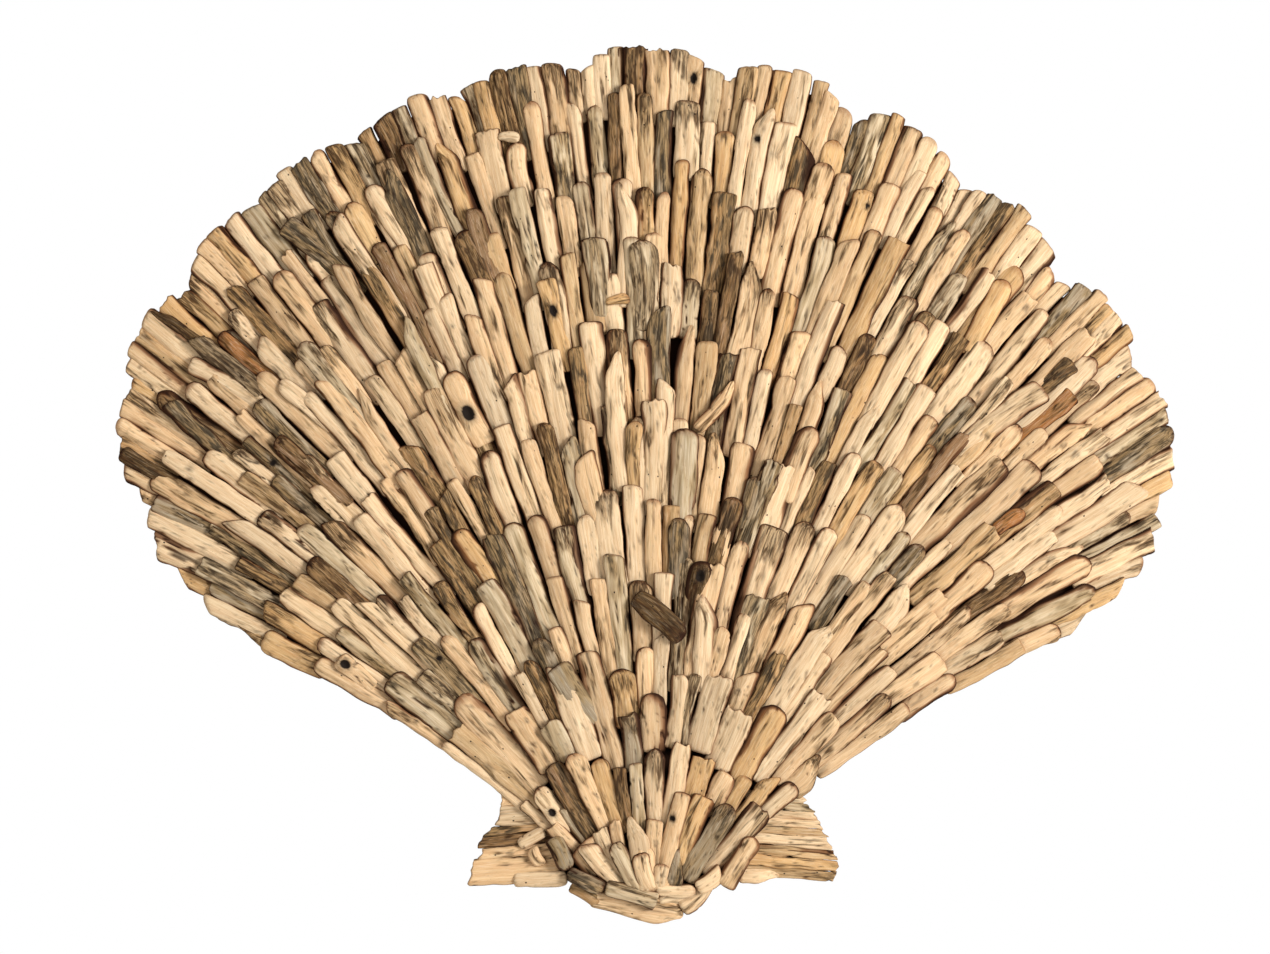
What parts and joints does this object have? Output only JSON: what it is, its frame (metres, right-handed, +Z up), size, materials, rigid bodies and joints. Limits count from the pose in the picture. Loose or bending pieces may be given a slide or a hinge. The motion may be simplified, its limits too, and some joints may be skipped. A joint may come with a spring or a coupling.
{
  "type": "driftwood wall panel",
  "caption": "Scallop-shell wall panel: a flat wooden board with a lobed rim and two small ears, faced with overlapping driftwood sticks that fan out from the hinge.",
  "frame": {"origin": "middle of the board's flat back, where it lies on the wall", "axes": "+Y into the wall, +Z up along the shell from the hinge to the rim, +X to the right seen from the front; the front faces -Y"},
  "size_m": [0.7558, 0.0398, 0.6301],
  "materials": {
    "board_wood": "plain sawn board, unvarnished, cut edges a little darker",
    "driftwood_sticks": "dry weathered driftwood, tan and cream with grey, golden and dark brown sticks, longitudinal grain, knots and small worm holes, matt",
    "hinge_driftwood": "dry weathered driftwood, tan, cream and grey-brown, matt",
    "ear_driftwood": "split driftwood strips with ragged ends, tan, grey and reddish, matt"
  },
  "bodies": {
    "root": {"backing_board": "board_wood", "rib_01_sticks": "driftwood_sticks", "rib_02_sticks": "driftwood_sticks", "rib_03_sticks": "driftwood_sticks", "rib_04_sticks": "driftwood_sticks", "rib_05_sticks": "driftwood_sticks", "rib_06_sticks": "driftwood_sticks", "rib_07_sticks": "driftwood_sticks", "rib_08_sticks": "driftwood_sticks", "rib_09_sticks": "driftwood_sticks", "rib_10_sticks": "driftwood_sticks", "rib_11_sticks": "driftwood_sticks", "rib_12_sticks": "driftwood_sticks", "rib_13_sticks": "driftwood_sticks", "rib_14_sticks": "driftwood_sticks", "rib_15_sticks": "driftwood_sticks", "hinge_fan_sticks": "driftwood_sticks", "hinge_left_side_stick": "hinge_driftwood", "hinge_left_lower_stick": "hinge_driftwood", "hinge_striated_stick": "hinge_driftwood", "hinge_cream_stick": "hinge_driftwood", "hinge_right_inner_stick": "hinge_driftwood", "hinge_tan_stick": "hinge_driftwood", "hinge_brown_stick": "hinge_driftwood", "hinge_bottom_stick": "hinge_driftwood", "hinge_small_stick": "hinge_driftwood", "hinge_right_lower_stick": "hinge_driftwood", "left_ear_wedge": "ear_driftwood", "left_ear_chip": "ear_driftwood", "left_ear_foot_stick": "ear_driftwood", "right_ear_foot_stick": "ear_driftwood", "left_ear_strip_1": "ear_driftwood", "left_ear_strip_2": "ear_driftwood", "left_ear_strip_3": "ear_driftwood", "left_ear_strip_4": "ear_driftwood", "left_ear_strip_5": "ear_driftwood", "left_ear_strip_6": "ear_driftwood", "right_ear_strip_1": "ear_driftwood", "right_ear_strip_2": "ear_driftwood", "right_ear_strip_3": "ear_driftwood", "right_ear_strip_4": "ear_driftwood", "right_ear_strip_5": "ear_driftwood", "right_ear_strip_6": "ear_driftwood", "right_ear_strip_7": "ear_driftwood", "right_ear_strip_8": "ear_driftwood", "right_ear_strip_9": "ear_driftwood"}
  },
  "joints": []
}
